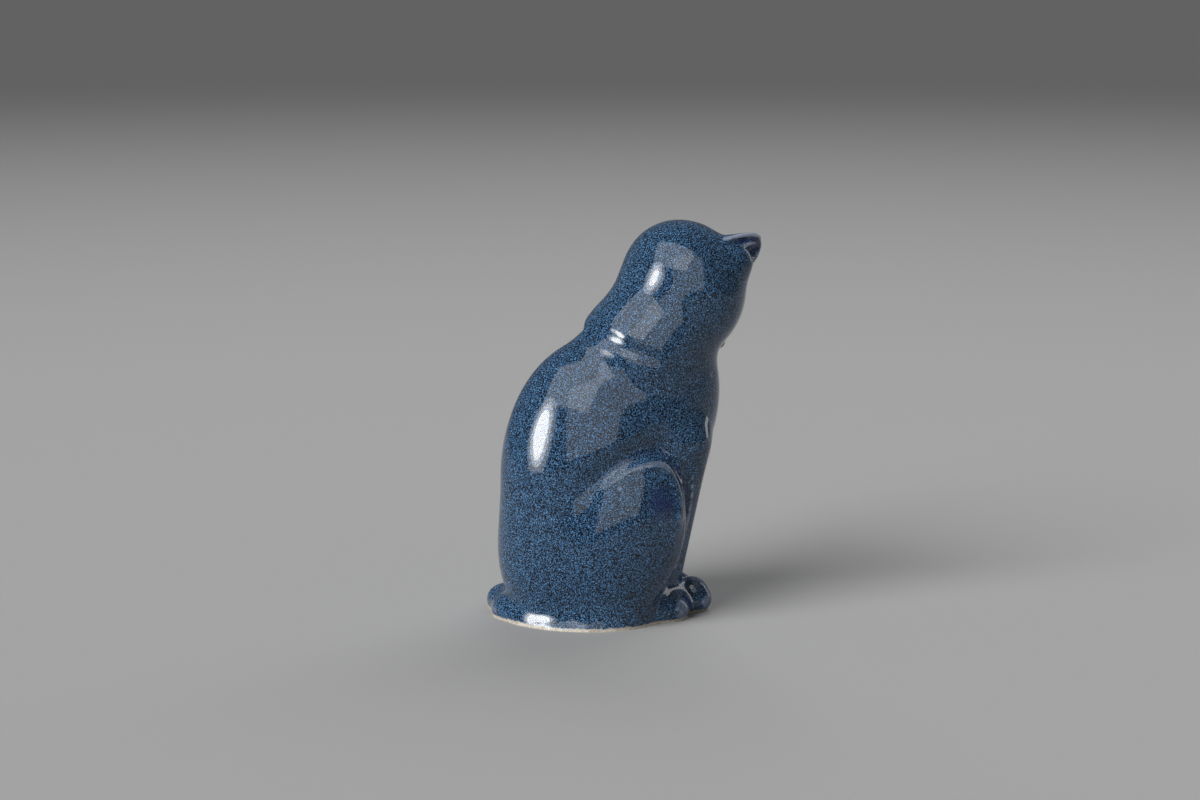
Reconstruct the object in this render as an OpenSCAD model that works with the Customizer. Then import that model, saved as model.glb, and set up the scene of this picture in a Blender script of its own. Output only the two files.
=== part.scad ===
// Seated cat urn: a hollow glazed stoneware figure with a filling hole in its
// flat underside, closed by a rubber stopper. Millimetres, +Z up, the cat faces -Y.

/* [Overall] */
// Height over the crown of the bowed head
cat_h = 265; // [200:1:340]
// Breadth over the right haunch and the tail
cat_w = 140.3; // [110:0.1:180]
// Length from the rump to the muzzle
cat_l = 185.3; // [150:0.1:230]

/* [Shell] */
// Thickness of the cast wall
wall_t = 5; // [3.5:0.1:8]
// Thickness of the floor
floor_t = 8; // [6:0.5:14]

/* [Filling hole] */
// Diameter of the hole through the floor
hole_d = 44; // [30:0.5:56]
// Diameter of the recess that takes the flange of the stopper
recess_d = 54; // [38:0.5:66]
// Depth of that recess
recess_h = 3; // [2:0.1:5]
// Clearance all round the stopper
clear = 0.3; // [0.15:0.05:0.5]
// Height of the plug of the stopper above its flange
plug_h = 11; // [6:0.5:18]
// Gap between the flange and the ground
stand_off = 0.6; // [0.3:0.1:1]

/* [Head] */
// Turn of the head to the cat's left
head_yaw = 22; // [0:1:35]
// Bow of the head
head_pitch = 50; // [20:1:60]
// Half sizes of the skull: across, fore and aft, up
skull = [42, 43, 38];
// Length of the ears above the skull
ear_l = 16; // [10:0.5:26]

/* [Mesh] */
// Points round each ring of the outside
ring_n = 54; // [36:2:60]
// Rings up the outside between the foot and the crown
rings = 46; // [30:1:54]
// Points round each ring of the cavity
hollow_n = 28; // [20:2:36]
// Rings up the cavity
hollow_rings = 24; // [16:1:32]

/* [Hidden] */
GLAZE = [0.24, 0.38, 0.56];
RUBBER = [0.09, 0.09, 0.10];
// The figure is laid out on a master of these sizes and scaled to the ones above
MASTER = [140.3, 185.3, 265];
fit = [cat_w / MASTER.x, cat_l / MASTER.y, cat_h / MASTER.z];
// Puts the middle of the whole over the origin
HOME = [-8.2, 18.2, 0];
hole_c = [fit.x * HOME.x, fit.y * (HOME.y + 6)];
flange_h = recess_h - stand_off;
flange_d = recess_d - 2 * clear;
plug_d = hole_d - 2 * clear;
hx = head_yaw;
hp = head_pitch;
head_c = [2, -61, 224];
// Axes of the head: its own left, back and up, as the columns of a turn
HEAD_M = [[cos(hx), -sin(hx) * cos(hp), sin(hx) * sin(hp)],
          [sin(hx), cos(hx) * cos(hp), -cos(hx) * sin(hp)],
          [0, sin(hp), cos(hp)]];
// Forward lean of the haunches
HAUNCH_M = [[1, 0, 0], [0, cos(17), -sin(17)], [0, sin(17), cos(17)]];
// Course of the tail round the cat's left side, each with its half thickness
TAIL = [[-14, 58, 2, 5], [8, 65, 4, 7], [36, 60, 6, 8], [60, 40, 7, 8.5],
        [68, 10, 7, 8.5], [63, -20, 7, 8], [47, -43, 6, 7]];
// Line the rings are strung on, by height: its place fore and aft, and its lean
LINE_Y = [[0, 4], [30, 2], [80, -4], [130, -16], [180, -38], [223, -61], [262, -86]];
LEAN = [[0, 0], [90, 0], [130, 8], [180, 24], [215, 34], [262, 36]];

// ---- distance to the rounded forms the figure is built from ----

function ball(q, a) =
    let (k0 = norm([q.x / a.x, q.y / a.y, q.z / a.z]),
         k1 = norm([q.x / a.x / a.x, q.y / a.y / a.y, q.z / a.z / a.z]))
    k0 * (k0 - 1) / max(k1, 0.000001);

function limb(p, a, b, ra, rb) =
    let (ab = b - a,
         h = max(0, min(1, (p - a) * ab / (ab * ab))))
    norm(p - a - h * ab) - ra - h * (rb - ra);

function blend(a, b, k) =
    let (h = max(k - abs(a - b), 0) / k)
    min(a, b) - h * h * k / 4;

function carve(a, b, k) = -blend(-a, b, k);

// Back, rump and chest, drawn in at the front below the chest behind the forelegs
function trunk(p) =
    let (d = blend(blend(ball(p - [0, 2, 95], [51, 67, 94]),
                         ball(p - [0, 10, 40], [51, 59.5, 60]), 20),
                   ball(p - [0, -43, 150], [38, 41, 60]), 24))
    p.y > 0 || p.z > 135 ? d : carve(d, ball(p - [0, -90, 48], [74, 48, 66]), 16);

// Thighs, each under a shallow valley that sets it off from the flank
function haunches(p, d) =
    p.z > 145 ? d :
    let (m = [abs(p.x), p.y, p.z],
         e = carve(d, limb(m, [59, 24, 96], [53, -24, 119], 13, 10), 9))
    blend(e, ball((m - [44, -5, 58]) * HAUNCH_M, [18, 38, 57]), 6);

function forelegs(p, d) =
    p.z > 175 ? d :
    blend(d, limb([abs(p.x), p.y, p.z], [25, -49, 118], [18, -41, 22], 20, 10.5), 9);

function paws(p, d) =
    p.z > 40 ? d :
    let (m = [abs(p.x), p.y, p.z],
         e = blend(d, ball(m - [17, -57, 8], [13, 18, 12]), 7))
    blend(e, ball(m - [34, -35, 7], [13, 17, 11]), 7);

function tail(p, d, i = 0) =
    p.z > 30 || i == len(TAIL) - 1 ? d :
    let (a = TAIL[i], b = TAIL[i + 1])
    tail(p, blend(d, limb(p, [a.x, a.y, a.z], [b.x, b.y, b.z], a[3], b[3]), 8), i + 1);

function foot(p, d) =
    p.z > 34 ? d : blend(d, ball(p - [0, 8, 0], [54, 58, 9]), 15);

function neck(p) = limb(p, [0, -28, 176], [1, -56, 208], 43, 39.5);

function face(q) =
    let (m = [abs(q.x), q.y, q.z])
    blend(blend(ball(q - [0, -37, -8], [14, 15, 11]), ball(m - [19, -10, -5], [20, 18, 15]), 12),
          ball(m - [27, -1, 24], [15, 13, 14]), 8);

function head(p, d) =
    p.z < 118 ? d :
    let (q = (p - head_c) * HEAD_M,
         n = blend(neck(p), ball(q, skull), 14))
    blend(d, blend(n, face(q), 12), 7);

// The whole outside
function outside(p) = head(p, tail(p, paws(p, foot(p, forelegs(p, haunches(p, trunk(p)))))));

// What the slip drains out of: the large forms only, paws and tail cast solid
function inside(p) =
    let (d = haunches(p, trunk(p)),
         q = (p - head_c) * HEAD_M,
         n = p.z < 118 ? d : blend(d, blend(neck(p), ball(q, skull), 14), 7))
    n + wall_t;

// ---- rings ----

function place(z) = [0, lookup(z, LINE_Y), z];
function ray(z, a) = let (t = lookup(z, LEAN)) [sin(a), cos(a) * cos(t), cos(a) * sin(t)];
function up_dir(z) = let (t = lookup(z, LEAN)) [0, -sin(t), cos(t)];

function reach(o, d, r, hollow, n) =
    let (s = hollow ? inside(o + d * r) : outside(o + d * r))
    n == 0 || abs(s) < 0.02 ? r : reach(o, d, max(0.5, r - s * 0.92), hollow, n - 1);

function ring(z, count, hollow, far) =
    let (o = place(z))
    [for (i = [0:count - 1])
        let (d = ray(z, i * 360 / count))
        o + d * reach(o, d, far, hollow, 18)];

// Heights of the rings: close together at the foot, even up the body, closing on the crown
FOOT_Z = [0, 2, 4.5, 7.5, 11, 15, 19, 23.5];
CROWN = [0.28, 0.5, 0.68, 0.81, 0.9, 0.96, 0.99];

function heights(z0, z1, count, top) = concat(
    [for (i = [0:count - 1]) z0 + (z1 - z0) * i / (count - 1)],
    [for (c = CROWN) z1 + (top - z1) * c]);

// Skin of rings closed by a flat fan below and a crown point above
module skin(zs, count, hollow, top) {
    far = hollow ? 92 : 104;
    loops = [for (z = zs) ring(z, count, hollow, far)];
    n = len(loops);
    pts = concat([for (r = loops) each r], [place(zs[0]), top]);
    sides = [for (k = [0:n - 2], i = [0:count - 1])
        let (a = k * count + i, b = k * count + (i + 1) % count)
        each [[a, b, a + count], [b, b + count, a + count]]];
    base = [for (i = [0:count - 1]) [n * count, (i + 1) % count, i]];
    crown = [for (i = [0:count - 1])
        [n * count + 1, (n - 1) * count + i, (n - 1) * count + (i + 1) % count]];
    polyhedron(pts, concat(sides, base, crown), convexity = 6);
}

function crown_z(hollow) =
    let (o = place(236), d = up_dir(240), h = reach(o, d, 40, hollow, 20))
    [o + d * h, 236 + d.z * h];

module figure() {
    top = crown_z(false);
    zs = concat(FOOT_Z, heights(28, 236, rings, top[1]));
    skin(zs, ring_n, false, top[0]);
}

module cavity() {
    top = crown_z(true);
    zs = heights(floor_t / fit.z, 236, hollow_rings, top[1]);
    skin(zs, hollow_n, true, top[0]);
}

// One ear: rings of a crescent, its back bowed out and its front hollowed
module ear(side) {
    levels = 8;
    arc = 7;
    lift = -12;
    loops = [for (k = [0:levels - 1])
        let (t = k / (levels - 1),
             z = lift + (ear_l - lift) * t,
             w = 15 * pow(1 - t, 0.5) + 3,
             b = 8 * (1 - t) + 4,
             f = 1.2 - 2.6 * sin(min(180, 200 * t)))
        concat(
            [for (j = [0:arc]) let (a = 180 * j / arc) [w * cos(a), b * sin(a), z]],
            [for (j = [1:arc - 1]) let (a = 180 + 180 * j / arc) [w * cos(a), f * sin(a), z]])];
    m = 2 * arc;
    pts = concat([for (r = loops) each r], [[0, 0, lift], [0, 0.6, ear_l + 1.4]]);
    faces = concat(
        [for (k = [0:levels - 2], i = [0:m - 1])
            let (a = k * m + i, b = k * m + (i + 1) % m)
            each [[a, a + m, b], [b, a + m, b + m]]],
        [for (i = [0:m - 1]) [levels * m, i, (i + 1) % m]],
        [for (i = [0:m - 1]) [levels * m + 1, (levels - 1) * m + (i + 1) % m, (levels - 1) * m + i]]);
    translate(head_c) rotate([0, 0, hx]) rotate([hp, 0, 0])
        translate([side * 28, 1, 33]) rotate([0, side * 26, 0]) rotate([14, 0, 0]) rotate([0, 0, side * 60])
            polyhedron(pts, faces, convexity = 4);
}

module urn_body() {
    color(GLAZE)
    difference() {
        scale(fit) translate(HOME) union() {
            figure();
            ear(-1);
            ear(1);
        }
        scale(fit) translate(HOME) cavity();
        translate([hole_c.x, hole_c.y, -1]) cylinder(h = floor_t + 3, d = hole_d, $fn = 96);
        translate([hole_c.x, hole_c.y, -1]) cylinder(h = recess_h + 1, d = recess_d, $fn = 96);
    }
}

module stopper() {
    color(RUBBER)
    translate([hole_c.x, hole_c.y, stand_off])
    union() {
        cylinder(h = flange_h - clear, d = flange_d, $fn = 96);
        cylinder(h = flange_h + plug_h - 2, d = plug_d, $fn = 96);
        translate([0, 0, flange_h + plug_h - 2])
            cylinder(h = 2, d1 = plug_d, d2 = plug_d - 3, $fn = 96);
    }
}

urn_body();
stopper();
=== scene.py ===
"""Seated cat urn: the glazed figure, its stopper and a plain studio around them."""

import math

import bmesh
import bpy
import numpy as np
from mathutils import Matrix, Vector


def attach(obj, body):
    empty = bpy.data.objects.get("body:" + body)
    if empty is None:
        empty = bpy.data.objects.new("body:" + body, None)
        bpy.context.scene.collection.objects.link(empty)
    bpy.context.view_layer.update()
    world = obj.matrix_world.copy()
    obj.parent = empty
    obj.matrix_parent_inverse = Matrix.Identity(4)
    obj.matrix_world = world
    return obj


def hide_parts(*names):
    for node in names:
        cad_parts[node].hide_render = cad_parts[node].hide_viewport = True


bl_info = {
    "name": "Seated Cat Urn",
    "version": (1, 0, 0),
    "blender": (4, 5, 0),
    "location": "View3D > Sidebar > Cat Urn",
    "description": "Builds the glazed figure of a cat urn, its stopper and a plain studio",
    "category": "Object",
}

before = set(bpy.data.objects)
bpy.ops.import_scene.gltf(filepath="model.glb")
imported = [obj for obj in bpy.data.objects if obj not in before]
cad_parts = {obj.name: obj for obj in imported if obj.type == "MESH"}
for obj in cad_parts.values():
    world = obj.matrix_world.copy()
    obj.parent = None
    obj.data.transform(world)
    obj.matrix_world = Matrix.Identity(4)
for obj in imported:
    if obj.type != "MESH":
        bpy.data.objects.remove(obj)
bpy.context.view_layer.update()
MM = 0.001

# The figure is laid out in a master frame, in millimetres, and moved by HOME
HOME = Vector((-8.2, 18.2, 0.0))
HEAD_AT = Vector((2.0, -61.0, 224.0))
HEAD_TURN = Matrix.Rotation(math.radians(22), 3, "Z") @ Matrix.Rotation(math.radians(50), 3, "X")

# The filling hole in the floor, with the recess that the stopper's flange lies in
HOLE_AT = Vector((-8.2, 24.2, 0.0))
HOLE_R = 22.0
RECESS_R = 27.0
RECESS_H = 3.0
FLOOR_T = 8.0

# Paws, knees and ears come in pairs: -1 is the cat's right, 1 its left
SIDES = (-1, 1)

# Where the camera stands, in degrees and metres
VIEW_AZ = 250.0
VIEW_EL = 10.0
VIEW_FAR = 1.926
VIEW_RISE = 0.14343

# The height that the lamps are aimed at, in metres
LAMP_AIM = Vector((0.0, 0.0, 0.14))


def at(x, y, z):
    """A point of the master frame, in metres in the frame of the part."""
    return (Vector((x, y, z)) + HOME) * MM


def on_head(x, y, z):
    """A point given by the head's own left, back and up, in metres."""
    return (HEAD_AT + HEAD_TURN @ Vector((x, y, z)) + HOME) * MM


# ---- small helpers for working as by hand ----


def deselect():
    """Leaves any edit mode with nothing selected."""
    if bpy.context.object and bpy.context.object.mode != "OBJECT":
        bpy.ops.object.mode_set(mode="OBJECT")
    bpy.ops.object.select_all(action="DESELECT")


def pick(*objs):
    """Selects just these objects and makes the first one active."""
    deselect()
    for obj in objs:
        obj.select_set(True)
    bpy.context.view_layer.objects.active = objs[0]


def settle(obj):
    """Puts an object's place, turn and size into its mesh."""
    pick(obj)
    bpy.ops.object.transform_apply(location=True, rotation=True, scale=True)
    return obj


def modify(obj, kind, **values):
    """Adds one modifier and applies it."""
    pick(obj)
    mod = obj.modifiers.new(kind.title(), kind)
    for key, value in values.items():
        setattr(mod, key, value)
    bpy.ops.object.modifier_apply(modifier=mod.name)
    return obj


def join(objs):
    """Makes one object of several."""
    pick(*objs)
    bpy.ops.object.join()
    return bpy.context.object


def lump(centre, size, turn=None, rings=24):
    """A rounded lump of clay: an egg of three half sizes in millimetres."""
    deselect()
    bpy.ops.mesh.primitive_uv_sphere_add(segments=2 * rings, ring_count=rings, radius=1.0)
    obj = bpy.context.object
    obj.scale = Vector(size) * MM
    obj.location = centre
    if turn is not None:
        obj.rotation_mode = "QUATERNION"
        obj.rotation_quaternion = turn.to_quaternion()
    return settle(obj)


def coil(points, thickness):
    """A rolled coil of clay through points, each with its own half thickness in millimetres."""
    data = bpy.data.curves.new("coil", "CURVE")
    data.dimensions = "3D"
    data.bevel_depth = MM
    data.bevel_resolution = 4
    data.resolution_u = 6
    data.use_fill_caps = True
    line = data.splines.new("NURBS")
    line.points.add(len(points) - 1)
    line.order_u = 3
    line.use_endpoint_u = True
    for spot, p, r in zip(line.points, points, thickness):
        spot.co = (*p, 1.0)
        spot.radius = r
    obj = bpy.data.objects.new("coil", data)
    bpy.context.scene.collection.objects.link(obj)
    pick(obj)
    bpy.ops.object.convert(target="MESH")
    obj = bpy.context.object
    bpy.ops.object.mode_set(mode="EDIT")
    bpy.ops.mesh.select_all(action="SELECT")
    bpy.ops.mesh.remove_doubles(threshold=0.00001)
    bpy.ops.mesh.normals_make_consistent(inside=False)
    bpy.ops.object.mode_set(mode="OBJECT")
    return obj


def cut(obj, tool):
    """Takes a tool's shape out of an object and throws the tool away."""
    modify(obj, "BOOLEAN", object=tool, operation="DIFFERENCE", solver="MANIFOLD")
    bpy.data.objects.remove(tool, do_unlink=True)


def weigh_near(obj, name, spots):
    """A vertex group that falls from 1 at each spot, in metres, to 0 at its reach, in millimetres."""
    faint = 0.004
    group = obj.vertex_groups.new(name=name)
    spots = [(centre / MM, reach) for centre, reach in spots]
    for point in obj.data.vertices:
        place = point.co / MM
        weight = max(1.0 - ((place - centre).length / reach) ** 2 for centre, reach in spots)
        if weight > faint:
            group.add([point.index], weight, "REPLACE")


# ---- the shells of the casting ----


def shell_of(node, inner):
    """The outside, or the cavity, of a hollow CAD node as a closed mesh of its own."""
    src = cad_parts[node]
    obj = src.copy()
    obj.data = src.data.copy()
    obj.parent = None
    for key in list(obj.keys()):
        del obj[key]
    bpy.context.scene.collection.objects.link(obj)
    pick(obj)
    bpy.ops.object.mode_set(mode="EDIT")
    bpy.ops.mesh.select_all(action="SELECT")
    bpy.ops.mesh.remove_doubles(threshold=0.00002)
    bpy.ops.mesh.select_all(action="DESELECT")
    bpy.ops.object.mode_set(mode="OBJECT")
    # Everything within the recess or the hole goes, which parts the two shells
    for face in obj.data.polygons:
        c = face.center / MM
        out = math.hypot(c.x - HOLE_AT.x, c.y - HOLE_AT.y)
        in_recess = out < RECESS_R + 0.05 and c.z < FLOOR_T - 0.1
        in_hole = out < HOLE_R + 0.2 and c.z < FLOOR_T + 0.1
        face.select = in_recess or in_hole
    bpy.ops.object.mode_set(mode="EDIT")
    bpy.ops.mesh.select_mode(type="FACE")
    bpy.ops.mesh.delete(type="FACE")
    bpy.ops.object.mode_set(mode="OBJECT")
    mesh = bmesh.new()
    mesh.from_mesh(obj.data)
    # The crown belongs to the outside, and so does all that is joined to it
    crown = max(mesh.verts, key=lambda v: v.co.z)
    outer = {crown}
    front = [crown]
    while front:
        v = front.pop()
        for edge in v.link_edges:
            other = edge.other_vert(v)
            if other not in outer:
                outer.add(other)
                front.append(other)
    gone = [v for v in mesh.verts if (v in outer) == inner]
    bmesh.ops.delete(mesh, geom=gone, context="VERTS")
    rim = [e for e in mesh.edges if e.is_boundary]
    bmesh.ops.holes_fill(mesh, edges=rim, sides=0)
    bmesh.ops.recalc_face_normals(mesh, faces=mesh.faces)
    mesh.to_mesh(obj.data)
    mesh.free()
    return obj


# ---- the figure ----


def quads(obj):
    """Pairs the loose triangles of a CAD shell back into four-sided faces."""
    pick(obj)
    bpy.ops.object.mode_set(mode="EDIT")
    bpy.ops.mesh.select_all(action="SELECT")
    bpy.ops.mesh.tris_convert_to_quads(
        face_threshold=math.radians(70), shape_threshold=math.radians(180))
    bpy.ops.object.mode_set(mode="OBJECT")
    return obj


def sink_foot(obj, depth):
    """Pulls the flat foot down, so that rounding over leaves the outline at the ground full."""
    pick(obj)
    for face in obj.data.polygons:
        face.select = face.normal.z < -0.9 and face.center.z < 0.3 * MM
    bpy.ops.object.mode_set(mode="EDIT")
    bpy.ops.mesh.extrude_region_move(TRANSFORM_OT_translate={"value": (0, 0, -depth * MM)})
    bpy.ops.object.mode_set(mode="OBJECT")
    return obj


def trim_foot(obj):
    """Cuts the figure off level at the ground and closes it flat."""
    pick(obj)
    bpy.ops.object.mode_set(mode="EDIT")
    bpy.ops.mesh.select_all(action="SELECT")
    bpy.ops.mesh.bisect(plane_co=(0, 0, 0), plane_no=(0, 0, 1), use_fill=True, clear_inner=True)
    bpy.ops.object.mode_set(mode="OBJECT")


def paw_lumps():
    """Knuckles and toes of the four paws; the left forepaw is pressed a little flatter."""
    parts = []
    for s in SIDES:
        flat = 1.0 if s > 0 else 0.0
        parts.append(lump(at(s * 17, -60.0, 11.6 - 2 * flat), (11.8, 12.0, 11.6 - 1.5 * flat)))
        parts.append(lump(at(s * 17, -63.2, 8.0), (12.6, 10.8, 10.6)))
        parts.append(lump(at(s * 34.5, -38.4, 6.5), (12.4, 12.2, 10.4)))
    return parts


def knee_ridge(s):
    """The front edge of a thigh, which stands proud of the belly and the foreleg."""
    line = [(45, 25, 83), (46.5, 16, 91), (47, 7, 98), (47.3, -2, 103), (47.3, -11, 106),
            (47, -20, 107.3), (47, -27, 105), (48, -31, 98), (49.5, -34.5, 88), (51, -35, 78),
            (52.3, -32.5, 67), (52.6, -29, 57), (51, -26.5, 46), (48, -25.5, 36), (44, -26, 27)]
    thick = (3.0, 4.8, 5.8, 6.3, 6.5, 6.5, 6.3, 6.2, 6.0, 6.0, 6.0, 6.0, 5.5, 5.0, 4.0)
    return coil([at(s * x, y, z) for x, y, z in line], thick)


def face_lump(x, y, z, size):
    """A lump that turns with the head."""
    return lump(on_head(x, y, z), size, HEAD_TURN, 12)


def face_coil(s, line, thick):
    """A coil along the head's own points, mirrored for the side s."""
    return coil([on_head(s * x, y, z) for x, y, z in line], thick)


def face_lumps():
    """The nose and chin, and on each side the ear's rim and back, a whisker pad and an eyeball."""
    bridge = [(0, -34, 13), (0, -42, 6), (0, -49, 0.5), (0, -53, -3)]
    ear_rim = [(35.6, 7.5, 28), (35.4, 2.6, 36.6), (33.8, -2.6, 43.6), (32.2, -6.2, 46.6),
               (32.4, -8.6, 43.0), (33.0, -10.0, 37.5), (33.0, -10.2, 31), (31.6, -9.4, 25)]
    parts = [
        face_coil(1, bridge, (7.5, 6.4, 5.2, 3.4)),
        face_lump(0, -52.6, -4.2, (4.4, 3.0, 3.0)),
        face_lump(0, -46, -15, (7.0, 7.0, 5.4)),
    ]
    for s in SIDES:
        parts.append(face_coil(s, ear_rim, (2.0, 2.0, 1.9, 1.8, 1.9, 2.1, 2.3, 2.6)))
        parts.append(face_lump(s * 31.4, -3.0, 35.5, (5.2, 8.2, 9.6)))
        parts.append(face_lump(s * 6.2, -47.5, -9.5, (8.0, 7.6, 6.6)))
        parts.append(face_lump(s * 15.5, -34.0, 6.5, (7.6, 6.0, 6.4)))
    return parts


def face_cuts():
    """The groove under the nose, and on each side an ear's hollow, the mouth, a nostril and a closed lid."""
    philtrum = [(0, -56.2, -6.0), (0, -55.6, -9.0), (0, -53.6, -12.2)]
    ear_hollow = [(39.2, -0.6, 29.5), (38.4, -2.4, 34.5), (37.0, -4.6, 39.8), (35.2, -6.2, 44.0)]
    mouth = [(0, -53.9, -12.0), (4, -54.2, -15.0), (8.5, -51.8, -16.0), (12.5, -46.6, -14.2)]
    nostril = [(2.0, -55.8, -4.6), (3.6, -54.8, -3.8)]
    lid = [(8.6, -38.6, 2.2), (12.4, -40.4, 1.2), (17.2, -39.4, 2.0), (21.6, -35.6, 5.6),
           (24.0, -32.0, 8.8)]
    tools = [face_coil(1, philtrum, (0.9, 1.2, 1.2))]
    for s in SIDES:
        tools.append(face_coil(s, ear_hollow, (4.6, 5.2, 3.6, 1.2)))
        tools.append(face_coil(s, mouth, (1.2, 1.3, 1.2, 0.5)))
        tools.append(face_coil(s, nostril, (0.9, 0.6)))
        tools.append(face_coil(s, lid, (0.5, 1.3, 1.5, 1.2, 0.5)))
    return tools


def toe_cuts():
    """Grooves between the toes."""
    tools = []
    for s in SIDES:
        for gap in (-1, 0, 1):
            x = s * 17 + gap * 6.2
            tools.append(coil([at(x, -65, 20.5), at(x, -71.5, 15.0), at(x, -75.2, 6.0)], (0.6, 1.5, 1.6)))
            x = s * 34 + gap * 5.89
            tools.append(coil([at(x, -43, 16.0), at(x, -49.5, 11.5), at(x, -52.4, 5.0)], (0.6, 1.4, 1.5)))
    return tools


def neck_crease(s):
    """The fold where the neck sinks into the shoulders, as a wide shallow groove."""
    line = [(4, 19.0, 194.6), (12.6, 16.6, 195.3), (21.0, 12.2, 196.4), (32.0, 6.2, 192.6),
            (40.2, -1.2, 187.8), (45.8, -11.4, 184.2), (49.4, -22.2, 179.4), (52.2, -29.5, 173.0)]
    return coil([at(s * x, y, z) for x, y, z in line], (8.6, 9, 9, 9, 9, 9, 9, 8.5))


def shin_groove(s):
    """The crease between a thigh's front edge and the foreleg behind it."""
    line = [(47.5, -40, 117), (48, -43, 112), (47, -45.5, 104), (45, -47.5, 95), (42.5, -48, 85),
            (40.5, -46.5, 72), (38.5, -43.5, 58), (36.5, -40.5, 44), (35.5, -38, 32)]
    return coil([at(s * x, y, z) for x, y, z in line], (3.0, 4.2, 4.6, 4.8, 4.8, 4.8, 4.6, 4.4, 3.6))


def neighbour_mean(values, edges, passes):
    """Evens out numbers held at the points of a mesh along its edges."""
    count = np.bincount(edges.ravel(), minlength=len(values)).astype(float)
    count[count == 0] = 1.0
    for _ in range(passes):
        total = np.bincount(edges[:, 0], weights=values[edges[:, 1]], minlength=len(values))
        total += np.bincount(edges[:, 1], weights=values[edges[:, 0]], minlength=len(values))
        values = 0.5 * values + 0.5 * total / count
    return values


def read_rows(items, key, width, kind=float):
    """One row of numbers for each point or edge of a mesh."""
    rows = np.empty(len(items) * width, dtype=kind)
    items.foreach_get(key, rows)
    return rows.reshape(-1, width)


def bend_of(points, normals, edges):
    """How sharply the surface bends at each point: above 0 on a ridge, below 0 in a crease."""
    n = len(points)
    step = points[edges[:, 1]] - points[edges[:, 0]]
    length = np.maximum((step * step).sum(axis=1), 1e-6)
    turn = (step * (normals[edges[:, 1]] - normals[edges[:, 0]])).sum(axis=1) / length
    total = np.bincount(edges[:, 0], weights=turn, minlength=n)
    total += np.bincount(edges[:, 1], weights=turn, minlength=n)
    return total / np.maximum(np.bincount(edges.ravel(), minlength=n), 1)


def thick_glaze_and_shade_spots(s):
    """Spots of one side tinted as thick glaze and as painted shade, at the ear, the knee, the gap between
    thigh and foreleg and the paws: place, reach in millimetres and depth.
    """
    return [
        (on_head(s * 30, 0, 46), 13, 0.20),
        (at(s * 54, -22, 84), 17, 0.13),
        (at(s * 50, -40, 100), 13, 0.10),
        (at(s * 34, -47, 10), 10, 0.13),
        (at(s * 17, -70, 12), 11, 0.13),
    ]


def note_relief(obj):
    """Notes how far each point stands out as a ridge, for a pale line of thin glaze and painted highlight, or
    lies in a crease or dip, for an indigo pool of glaze and painted shade.
    """
    mesh = obj.data
    points = read_rows(mesh.vertices, "co", 3) / MM
    normals = read_rows(mesh.vertices, "normal", 3)
    edges = read_rows(mesh.edges, "vertices", 2, np.int64)
    bend = bend_of(points, normals, edges)
    ridge = np.clip(neighbour_mean(bend, edges, 2), 0, 1)
    pool = np.clip(-neighbour_mean(bend, edges, 14), 0, 1)
    # The listed spots add more pooled glaze and painted shade
    for spot, reach, depth in thick_glaze_and_shade_spots(-1) + thick_glaze_and_shade_spots(1):
        away = np.linalg.norm(points - np.array(spot) / MM, axis=1) / reach
        pool = np.maximum(pool, depth * np.clip(1 - away * away, 0, 1))
    for name, value in (("ridge", ridge), ("pool", pool)):
        layer = mesh.attributes.new(name, "FLOAT", "POINT")
        layer.data.foreach_set("value", value.astype(np.float32))


def soft_spots(s):
    """Where the clay of one side is smoothed by thumb: places in metres, each with a reach in millimetres."""
    neck = [(10, 11, 192, 16), (25, 4, 191, 16), (36, -6, 186, 16), (41, -20, 181, 16)]
    thigh = [(50, 22, 86, 12), (51, 8, 92, 14), (55, -8, 94, 15), (56, -20, 90, 13),
             (57, -24, 74, 12), (57, -20, 56, 13), (53, -20, 40, 11)]
    belly = [(47, 0, 116, 12), (45, -18, 118, 12), (48, 14, 106, 12), (47, 27, 92, 12)]
    return [(at(s * x, y, z), reach) for x, y, z, reach in neck + thigh + belly]


def build_figure(grain):
    """The outside of the cat: the shell rounded over, lumps laid on, grooves cut in, and all smoothed."""
    skin = quads(sink_foot(shell_of("urn_body", False), 6.0))
    modify(skin, "SUBSURF", levels=2, render_levels=2)
    form = join([skin] + paw_lumps() + face_lumps() + [knee_ridge(-1), knee_ridge(1)])
    modify(form, "REMESH", mode="VOXEL", voxel_size=grain, adaptivity=0.0)
    for tool in face_cuts() + toe_cuts():
        cut(form, tool)
    for s in SIDES:
        cut(form, neck_crease(s))
        cut(form, shin_groove(s))
    modify(form, "REMESH", mode="VOXEL", voxel_size=grain, adaptivity=0.0)
    weigh_near(form, "soft", soft_spots(-1) + soft_spots(1))
    modify(form, "SMOOTH", factor=0.5, iterations=18, vertex_group="soft")
    form.vertex_groups.clear()
    modify(form, "SMOOTH", factor=0.5, iterations=4)
    trim_foot(form)
    note_relief(form)
    return form


def hollow_out(form):
    """Opens the casting: the cavity comes out glazed, the filling hole and its recess as bare clay."""

    def carve(tool):
        for material in form.data.materials:
            tool.data.materials.append(material)
        # Slot 1 is the clay on a new cylinder, but the glaze on the cavity, which brings a slot of its own
        for face in tool.data.polygons:
            face.material_index = 1
        cut(form, tool)

    cavity = shell_of("urn_body", True)
    below = 2.0
    for radius, top in ((HOLE_R, FLOOR_T + 1.0), (RECESS_R, RECESS_H)):
        deselect()
        bpy.ops.mesh.primitive_cylinder_add(
            vertices=96, radius=radius * MM, depth=(top + below) * MM,
            location=(HOLE_AT.x * MM, HOLE_AT.y * MM, (top - below) / 2.0 * MM))
        carve(settle(bpy.context.object))
    carve(cavity)


# ---- finishes ----


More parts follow.
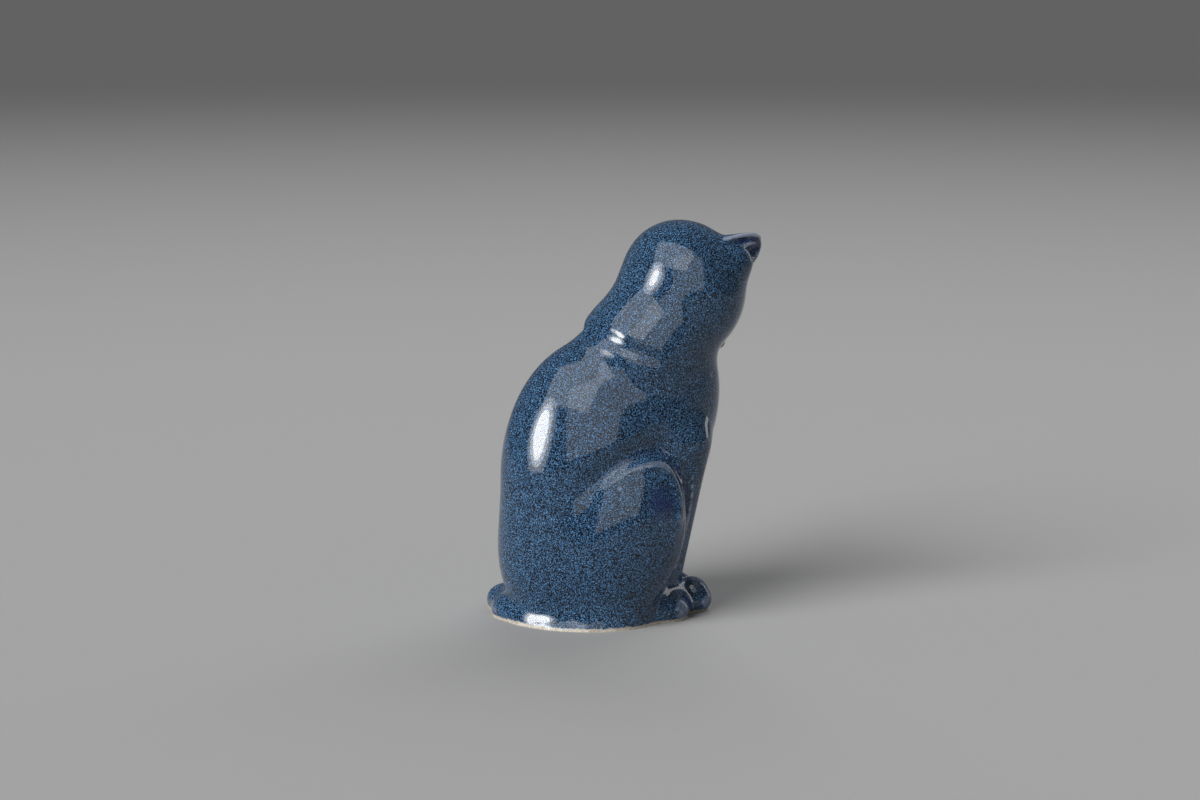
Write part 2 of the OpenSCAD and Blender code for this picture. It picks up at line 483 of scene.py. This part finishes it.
class Nodes:
    """Short hand for wiring a material."""

    def __init__(self, name):
        self.material = bpy.data.materials.new(name)
        self.material.use_nodes = True
        self.tree = self.material.node_tree
        self.tree.nodes.clear()
        self.out = self.add("ShaderNodeOutputMaterial")
        self.shader = self.add("ShaderNodeBsdfPrincipled")
        self.wire(self.shader, "BSDF", self.out, "Surface")
        self.place = self.add("ShaderNodeTexCoord")

    def add(self, kind, **values):
        """One node with its own settings."""
        node = self.tree.nodes.new(kind)
        for key, value in values.items():
            setattr(node, key, value)
        return node

    def wire(self, a, out, b, socket):
        """A link from an output of node a to a socket of node b."""
        self.tree.links.new(a.outputs[out], b.inputs[socket])

    def noise(self, scale, detail=2.0, rough=0.5, distortion=0.0):
        """A noise fixed to the object, with so many waves to the metre."""
        node = self.add("ShaderNodeTexNoise")
        node.inputs["Scale"].default_value = scale
        node.inputs["Detail"].default_value = detail
        node.inputs["Roughness"].default_value = rough
        node.inputs["Distortion"].default_value = distortion
        self.wire(self.place, "Object", node, "Vector")
        return node

    def ramp(self, source, output, stops, kind="LINEAR"):
        """A ramp of colours or greys over an output."""
        node = self.add("ShaderNodeValToRGB")
        node.color_ramp.interpolation = kind
        marks = node.color_ramp.elements
        while len(marks) < len(stops):
            marks.new(0.5)
        for mark, (spot, tone) in zip(marks, stops):
            mark.position = spot
            mark.color = (*tone, 1.0) if hasattr(tone, "__len__") else (tone, tone, tone, 1.0)
        self.wire(source, output, node, "Fac")
        return node

    def blend(self, share, a, b, kind="MIX", amount=None):
        """Mixes two colours; each of share, a and b is (node, output) or a plain value."""
        node = self.add("ShaderNodeMix", data_type="RGBA", blend_type=kind)
        if share is None:
            node.inputs[0].default_value = amount
        else:
            self.wire(share[0], share[1], node, 0)
        for spot, value in ((6, a), (7, b)):
            if isinstance(value[0], bpy.types.Node):
                self.wire(value[0], value[1], node, spot)
            else:
                node.inputs[spot].default_value = (*value, 1.0)
        return (node, 2)

    def math(self, kind, a, b, clamp=False):
        """Works out one number from two; each is (node, output) or a plain number."""
        node = self.add("ShaderNodeMath", operation=kind, use_clamp=clamp)
        for spot, value in ((0, a), (1, b)):
            if isinstance(value, tuple):
                self.wire(value[0], value[1], node, spot)
            else:
                node.inputs[spot].default_value = value
        return (node, 0)

    def stray(self, noise, amount):
        """A noise centred on 0 and scaled."""
        return self.math("MULTIPLY", self.math("SUBTRACT", (noise, "Fac"), 0.5), amount)

    def bump(self, source, output, strength, depth):
        """Relief in the shader's normal, of a depth in metres."""
        node = self.add("ShaderNodeBump")
        node.inputs["Strength"].default_value = strength
        node.inputs["Distance"].default_value = depth
        self.wire(source, output, node, "Height")
        self.wire(node, "Normal", self.shader, "Normal")


def speckle(n, look):
    """Blue ground with lighter worm-like flecks, near-black iron specks and a slow drift of the whole."""
    worms = n.noise(1120.0, 2.0, 0.55, 0.35)
    ground = n.ramp(worms, "Fac", [(0.38, look.speck), (0.46, look.ground), (0.54, look.ground),
                                   (0.64, look.fleck), (0.78, look.pale)])
    specks = n.noise(1220.0, 0.0, 0.5)
    mask = n.ramp(specks, "Fac", [(0.50, 0.0), (0.54, 1.0)])
    colour = n.blend((mask, "Color"), (ground, "Color"), tuple(look.speck))
    drift = n.noise(16.0, 3.0, 0.5)
    lift = n.ramp(drift, "Fac", [(0.3, (0.86, 0.88, 0.92)), (0.7, (1.08, 1.06, 1.04))])
    return n.blend(None, colour, (lift, "Color"), "MULTIPLY", 1.0)


def run_off_with_painted_light(n, look, colour):
    """Creases turn indigo, as glaze that has run in and as painted shade, and ridges get a pale line, as
    thinned glaze and as a painted highlight.
    """
    break_up = n.noise(120.0, 2.0, 0.6)
    # Indigo in creases and dips: pooled glaze and painted shade
    pool = n.add("ShaderNodeAttribute", attribute_name="pool")
    wet_and_shaded = n.math("ADD", (pool, "Fac"), n.stray(break_up, 0.08))
    pooled_and_shaded = n.ramp(wet_and_shaded[0], wet_and_shaded[1], [(0.04, 0.0), (0.15, 0.9)])
    colour = n.blend((pooled_and_shaded, "Color"), colour, tuple(look.pool))
    # Pale line on ridges: thin glaze and a painted highlight
    ridge = n.add("ShaderNodeAttribute", attribute_name="ridge")
    edge_thin_and_lit = n.math("ADD", (ridge, "Fac"), n.stray(break_up, 0.10))
    thin_glaze_and_highlight = n.ramp(edge_thin_and_lit[0], edge_thin_and_lit[1], [(0.065, 0.0), (0.17, 0.8)])
    return n.blend((thin_glaze_and_highlight, "Color"), colour, tuple(look.thin_glaze_and_highlight))


def wiped_rim(n, ragged):
    """How far the clay is bare at the foot, up to about 2.5 mm high with a ragged edge."""
    split = n.add("ShaderNodeSeparateXYZ")
    n.wire(n.place, "Object", split, "Vector")
    level = n.math("MULTIPLY", (split, "Z"), 1.0 / MM)
    level = n.math("ADD", level, n.stray(ragged, 3.6))
    level = n.math("ADD", level, n.stray(n.noise(60.0, 2.0, 0.5), 3.4))
    return n.math("SUBTRACT", 2.5, level, True)


def speckled_glaze(look):
    """Glossy speckled blue glaze over the whole outside, wiped off the foot."""
    n = Nodes("Speckled glaze")
    colour = run_off_with_painted_light(n, look, speckle(n, look))
    ragged = n.noise(420.0, 3.0, 0.6)
    rim = wiped_rim(n, ragged)
    clay = n.ramp(ragged, "Fac", [(0.3, look.clay_dark), (0.65, look.clay)])
    colour = n.blend(rim, colour, (clay, "Color"))
    n.wire(colour[0], colour[1], n.shader, "Base Color")
    dull = n.math("ADD", n.math("MULTIPLY", rim, 0.62), 0.07)
    n.wire(dull[0], dull[1], n.shader, "Roughness")
    n.shader.inputs["IOR"].default_value = 1.52
    # Faint orange peel and the grit of the bare clay
    peel = n.noise(150.0, 1.0, 0.5)
    grit = n.noise(1500.0, 2.0, 0.6)
    rough = n.math("ADD", n.math("MULTIPLY", (peel, "Fac"), 0.16),
                   n.math("MULTIPLY", n.math("MULTIPLY", (grit, "Fac"), rim), 0.5))
    n.bump(rough[0], rough[1], 0.35, 0.4 * MM)
    return n.material


def bare_clay(look):
    """Unglazed fired clay with darker grog, for the filling hole and its recess."""
    n = Nodes("Bare clay")
    body = n.noise(260.0, 4.0, 0.6)
    tone = n.ramp(body, "Fac", [(0.3, look.clay_dark), (0.7, look.clay)])
    grog = n.noise(900.0, 1.0, 0.5)
    dots = n.ramp(grog, "Fac", [(0.66, 0.0), (0.72, 0.7)])
    colour = n.blend((dots, "Color"), (tone, "Color"), (0.20, 0.13, 0.08))
    n.wire(colour[0], colour[1], n.shader, "Base Color")
    n.shader.inputs["Roughness"].default_value = 0.85
    n.bump(body, "Fac", 0.4, 0.3 * MM)
    return n.material


def black_rubber():
    """Matt black rubber with a faint bloom."""
    n = Nodes("Black rubber")
    bloom = n.noise(60.0, 4.0, 0.6)
    tone = n.ramp(bloom, "Fac", [(0.3, (0.012, 0.012, 0.013)), (0.75, (0.035, 0.035, 0.036))])
    n.wire(tone, "Color", n.shader, "Base Color")
    rough = n.ramp(bloom, "Fac", [(0.3, 0.45), (0.7, 0.62)])
    n.wire(rough, "Color", n.shader, "Roughness")
    n.bump(n.noise(1800.0, 2.0, 0.6), "Fac", 0.25, 0.2 * MM)
    return n.material


# ---- the stopper ----


def stopper_profile():
    """Half of the stopper's section, from its underside round to its hollow top: radius and height."""
    plug_r = HOLE_R - 0.7
    bead_r = HOLE_R - 0.3
    flange_r = RECESS_R - 0.3
    dished_foot = [(0.0, 1.4), (8.0, 1.4), (9.2, 0.9)]
    flange = [(flange_r - 1.1, 0.6), (flange_r - 0.2, 0.9), (flange_r, 1.5), (flange_r - 0.1, 2.3),
              (flange_r - 0.6, 2.7), (22.4, 2.75), (21.5, 3.2)]
    beads = []
    for z in (5.4, 9.2):
        beads += [(plug_r, z - 1.0), (bead_r, z), (plug_r, z + 1.0)]
    nose = [(21.2, 11.2), (20.0, 13.2), (19.0, 13.7), (17.6, 13.9), (16.2, 13.2)]
    hollow = [(15.6, 12.0), (15.2, 6.0), (14.2, 5.2), (0.0, 5.2)]
    return dished_foot + flange + beads + nose + hollow


def build_stopper():
    """A turned rubber stopper: flange, plug with two sealing beads and a tapered hollow nose."""
    profile = stopper_profile()
    axle = HOLE_AT * MM
    mesh = bpy.data.meshes.new("stopper_turned")
    mesh.from_pydata([(axle.x + r * MM, axle.y, z * MM) for r, z in profile],
                     [(k, k + 1) for k in range(len(profile) - 1)], [])
    obj = bpy.data.objects.new("stopper_turned", mesh)
    bpy.context.scene.collection.objects.link(obj)
    pick(obj)
    bpy.ops.object.mode_set(mode="EDIT")
    bpy.ops.mesh.select_all(action="SELECT")
    bpy.ops.mesh.spin(steps=72, angle=2 * math.pi, center=axle, axis=(0, 0, 1))
    bpy.ops.mesh.select_all(action="SELECT")
    bpy.ops.mesh.remove_doubles(threshold=0.000005)
    bpy.ops.mesh.normals_make_consistent(inside=False)
    bpy.ops.object.mode_set(mode="OBJECT")
    modify(obj, "BEVEL", width=0.25 * MM, segments=2, limit_method="ANGLE", angle_limit=math.radians(40))
    pick(obj)
    bpy.ops.object.shade_smooth_by_angle(angle=math.radians(35))
    return obj


# ---- sizes and colours a user would change ----


class UrnSizes(bpy.types.PropertyGroup):
    """How finely the figure is modelled"""
    grain: bpy.props.FloatProperty(
        name="Modelling grain", description="Finest detail kept in the figure's surface",
        default=0.0013, min=0.0008, max=0.003, precision=5, subtype="DISTANCE", unit="LENGTH")


class GlazeLook(bpy.types.PropertyGroup):
    """Colours of the glaze and the clay"""
    speck: bpy.props.FloatVectorProperty(
        name="Iron speck", description="Near-black specks in the glaze", subtype="COLOR", size=3,
        default=(0.003, 0.006, 0.012))
    ground: bpy.props.FloatVectorProperty(
        name="Ground", description="Main blue of the glaze", subtype="COLOR", size=3,
        default=(0.045, 0.125, 0.255))
    fleck: bpy.props.FloatVectorProperty(
        name="Fleck", description="Lighter blue flecks", subtype="COLOR", size=3,
        default=(0.130, 0.29, 0.50))
    pale: bpy.props.FloatVectorProperty(
        name="Pale fleck", description="Palest flecks", subtype="COLOR", size=3,
        default=(0.26, 0.43, 0.63))
    # Pooled glaze, also used as painted shade in creases and hollows
    pool: bpy.props.FloatVectorProperty(
        name="Pooled glaze", description="Indigo where the glaze lies thick", subtype="COLOR", size=3,
        default=(0.018, 0.026, 0.11))
    # Thin glaze, also used as a painted highlight along ridges
    thin_glaze_and_highlight: bpy.props.FloatVectorProperty(
        name="Thin glaze", description="Pale line where the glaze runs off an edge", subtype="COLOR", size=3,
        default=(0.36, 0.40, 0.52))
    clay: bpy.props.FloatVectorProperty(
        name="Clay", description="Bare fired clay", subtype="COLOR", size=3,
        default=(0.70, 0.65, 0.56))
    clay_dark: bpy.props.FloatVectorProperty(
        name="Clay, toasted", description="Darker patches of the bare clay", subtype="COLOR", size=3,
        default=(0.40, 0.33, 0.25))


class StageLook(bpy.types.PropertyGroup):
    """Floor and light of the studio"""
    floor: bpy.props.FloatVectorProperty(
        name="Floor", description="Colour of the floor", subtype="COLOR", size=3,
        default=(0.385, 0.385, 0.385))
    fill: bpy.props.FloatProperty(
        name="Fill light", description="Strength of the even light from all round",
        default=0.13, min=0.0, max=2.0)


# ---- the studio ----


def sky_light(name, toward, strength, spread):
    """Even light from one side, as from a wide diffuser, that leaves no bright patch on the floor."""
    data = bpy.data.lights.new(name, "SUN")
    data.energy = strength
    data.angle = math.radians(spread)
    lamp = bpy.data.objects.new(name, data)
    bpy.context.scene.collection.objects.link(lamp)
    lamp.location = Vector(toward) * 3.0
    lamp.rotation_mode = "QUATERNION"
    lamp.rotation_quaternion = (-Vector(toward)).to_track_quat("-Z", "Y")
    lamp.visible_glossy = False


def softbox(name, toward, far, width, height, radiance, shape="RECTANGLE"):
    """A softbox that shows in the gloss of the glaze; radiance is what a mirror would show."""
    data = bpy.data.lights.new(name, "AREA")
    data.shape = shape
    data.size = width
    data.size_y = height
    data.energy = radiance * math.pi * width * height
    lamp = bpy.data.objects.new(name, data)
    bpy.context.scene.collection.objects.link(lamp)
    spot = Vector(toward).normalized()
    lamp.location = LAMP_AIM + spot * far
    lamp.rotation_mode = "QUATERNION"
    lamp.rotation_quaternion = (-spot).to_track_quat("-Z", "Y")
    lamp.visible_camera = False
    lamp.visible_diffuse = False


def lay_floor(colour):
    """A wide floor that keeps its colour near the urn and darkens far off, as painted shade for light falling
    away.
    """
    deselect()
    bpy.ops.mesh.primitive_circle_add(vertices=96, radius=26.0, fill_type="NGON", location=(0, 0, 0))
    floor = bpy.context.object
    floor.name = "floor"
    n = Nodes("Pale floor")
    away = n.add("ShaderNodeVectorMath", operation="LENGTH")
    n.wire(n.place, "Object", away, 0)
    share = n.math("DIVIDE", (away, "Value"), 14.0, True)
    # Painted shade: the floor darkens far off, as if the light fell away
    far_painted_shade = tuple(c * 0.33 for c in colour)
    painted_falloff = n.ramp(share[0], share[1], [(0.04, tuple(colour)), (0.42, far_painted_shade)], "EASE")
    n.wire(painted_falloff, "Color", n.shader, "Base Color")
    n.shader.inputs["Roughness"].default_value = 0.95
    n.shader.inputs["Specular IOR Level"].default_value = 0.0
    floor.data.materials.append(n.material)


def light_world(strength):
    """Even white light from all round."""
    world = bpy.data.worlds.new("Studio")
    world.use_nodes = True
    sky = world.node_tree.nodes["Background"]
    sky.inputs["Color"].default_value = (1.0, 1.0, 1.0, 1.0)
    sky.inputs["Strength"].default_value = strength
    bpy.context.scene.world = world


def hang_lamps():
    """Softboxes for the gloss, and two wide lights for the colour and the shadow."""
    softbox("overhead_panel", (-0.378, 0.450, 0.809), 1.8, 2.25, 1.4, 1.9)
    softbox("side_panel", (-0.86, 0.16, 0.46), 2.2, 2.25, 2.1, 1.0)
    softbox("front_strip", (0.16, -0.95, 0.32), 2.2, 0.45, 1.7, 1.8)
    # The strip at the back fades outward in three rings
    behind = (-0.26, 0.93, 0.26)
    for part, width, height, glow in (("core", 0.56, 0.80, 15.0), ("ring", 0.82, 1.04, 6.0),
                                      ("halo", 1.10, 1.35, 2.0)):
        softbox("back_strip_" + part, behind, 1.6, width, height, glow, "ELLIPSE")
    sky_light("key_sky", (-0.32, 0.74, 0.58), 3.1, 40.0)
    sky_light("fill_sky", (0.74, -0.56, 0.34), 2.2, 70.0)


def set_camera():
    """A long lens behind the cat, on its right, looking a little down."""
    up = Vector((0, 0, 1))
    az, el = math.radians(VIEW_AZ), math.radians(VIEW_EL)
    back = Vector((math.sin(az) * math.cos(el), -math.cos(az) * math.cos(el), math.sin(el)))
    side = up.cross(back).normalized()
    head = back.cross(side)
    data = bpy.data.cameras.new("camera")
    data.lens = 85.0
    data.sensor_width = 36.0
    data.clip_end = 100.0
    camera = bpy.data.objects.new("camera", data)
    bpy.context.scene.collection.objects.link(camera)
    camera.location = at(0, 0, 0) + head * VIEW_RISE + back * VIEW_FAR
    camera.rotation_mode = "QUATERNION"
    camera.rotation_quaternion = Matrix((side, head, back)).transposed().to_quaternion()
    bpy.context.scene.camera = camera


# ---- operators ----


class URN_OT_figure(bpy.types.Operator):
    """Model the hollow cat figure and glaze it"""
    bl_idname = "urn.figure"
    bl_label = "Build Figure"

    def execute(self, context):
        look = context.scene.urn_glaze
        form = build_figure(context.scene.urn_sizes.grain)
        outside = speckled_glaze(look)
        clay = bare_clay(look)
        form.data.materials.clear()
        form.data.materials.append(outside)
        form.data.materials.append(clay)
        for face in form.data.polygons:
            face.material_index = 0
        hollow_out(form)
        form.name = "urn_figure"
        form.data.name = "urn_figure"
        pick(form)
        bpy.ops.object.shade_smooth_by_angle(angle=math.radians(32))
        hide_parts("urn_body")
        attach(form, "root")
        return {"FINISHED"}


class URN_OT_stopper(bpy.types.Operator):
    """Turn the rubber stopper of the filling hole"""
    bl_idname = "urn.stopper"
    bl_label = "Build Stopper"

    def execute(self, context):
        plug = build_stopper()
        plug.name = "rubber_stopper"
        plug.data.materials.clear()
        plug.data.materials.append(black_rubber())
        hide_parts("stopper")
        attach(plug, "root")
        return {"FINISHED"}


class URN_OT_stage(bpy.types.Operator):
    """Lay the floor, hang the lamps and set up the camera"""
    bl_idname = "urn.stage"
    bl_label = "Set Stage"

    def execute(self, context):
        scene = context.scene
        lay_floor(scene.urn_stage.floor)
        light_world(scene.urn_stage.fill)
        hang_lamps()
        set_camera()
        scene.view_settings.view_transform = "Standard"
        return {"FINISHED"}


class URN_PT_panel(bpy.types.Panel):
    """Sizes, colours and steps of the cat urn"""
    bl_idname = "URN_PT_panel"
    bl_label = "Cat Urn"
    bl_space_type = "VIEW_3D"
    bl_region_type = "UI"
    bl_category = "Cat Urn"

    def draw(self, context):
        scene = context.scene
        for title, name in (("Figure", "urn_sizes"), ("Glaze", "urn_glaze"), ("Stage", "urn_stage")):
            group = getattr(scene, name)
            box = self.layout.box()
            box.label(text=title)
            for key in group.__annotations__:
                box.prop(group, key)
        for step in STEPS:
            self.layout.operator(step.bl_idname)


STEPS = (URN_OT_figure, URN_OT_stopper, URN_OT_stage)
GROUPS = (("urn_sizes", UrnSizes), ("urn_glaze", GlazeLook), ("urn_stage", StageLook))


def register():
    for name, group in GROUPS:
        bpy.utils.register_class(group)
        setattr(bpy.types.Scene, name, bpy.props.PointerProperty(type=group))
    for step in STEPS + (URN_PT_panel,):
        bpy.utils.register_class(step)


def unregister():
    for step in reversed(STEPS + (URN_PT_panel,)):
        bpy.utils.unregister_class(step)
    for name, group in reversed(GROUPS):
        delattr(bpy.types.Scene, name)
        bpy.utils.unregister_class(group)


def main():
    register()
    bpy.ops.urn.figure()
    bpy.ops.urn.stopper()
    bpy.ops.urn.stage()


if __name__ == "__main__":
    main()
